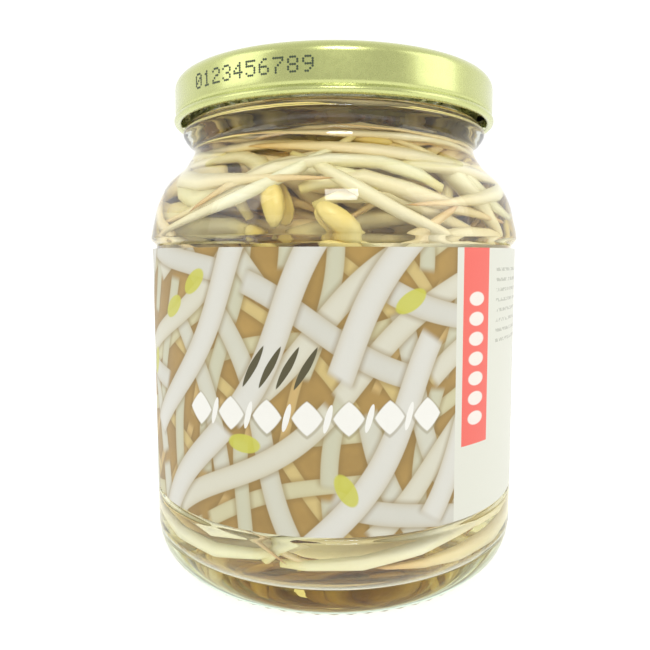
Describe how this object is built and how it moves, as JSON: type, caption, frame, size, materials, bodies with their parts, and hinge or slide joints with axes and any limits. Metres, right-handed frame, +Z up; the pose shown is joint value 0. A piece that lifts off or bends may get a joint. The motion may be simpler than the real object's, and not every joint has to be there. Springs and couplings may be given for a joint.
{
  "type": "jar of bean sprouts",
  "caption": "Round glass preserve jar packed with bean sprouts in brine, with a wrap-round paper label and a pressed-tin twist-off lid that turns and rises on its threads.",
  "frame": {"origin": "middle of the base, on the surface that the jar stands on", "axes": "+Z up along the jar's axis, the label's front facing -Y, +X to the viewer's right"},
  "size_m": [0.0786, 0.0786, 0.1004],
  "materials": {
    "glass": "clear blown flint glass with a faint green edge",
    "lid_tin": "satin gold-green lacquer on tinplate",
    "sealing_ring": "matte cream sealing compound",
    "label_paper": "coated printed paper",
    "brine": "clear amber liquid",
    "sprout": "moist waxy plant skin"
  },
  "bodies": {
    "jar": {"glass_jar": "glass", "label": "label_paper", "brine": "brine", "sprouts_lower": "sprout", "sprouts_middle": "sprout", "sprouts_upper": "sprout"},
    "ring": {"sealing_ring": "sealing_ring"},
    "lid": {"lid": "lid_tin"}
  },
  "joints": [
    {"name": "lid_rise", "type": "slide", "parent": "jar", "child": "ring", "axis": [0, 0, 1], "range_m": [0, 0.0015]},
    {"name": "lid_turn", "type": "hinge", "parent": "ring", "child": "lid", "pos_m": [0, 0, 0.0958], "axis": [0, 0, 1], "range_deg": [0, 60]}
  ],
  "couplings": [
    {"joint": "lid_rise", "follows": "lid_turn", "m_per_rad": 0.0014}
  ]
}
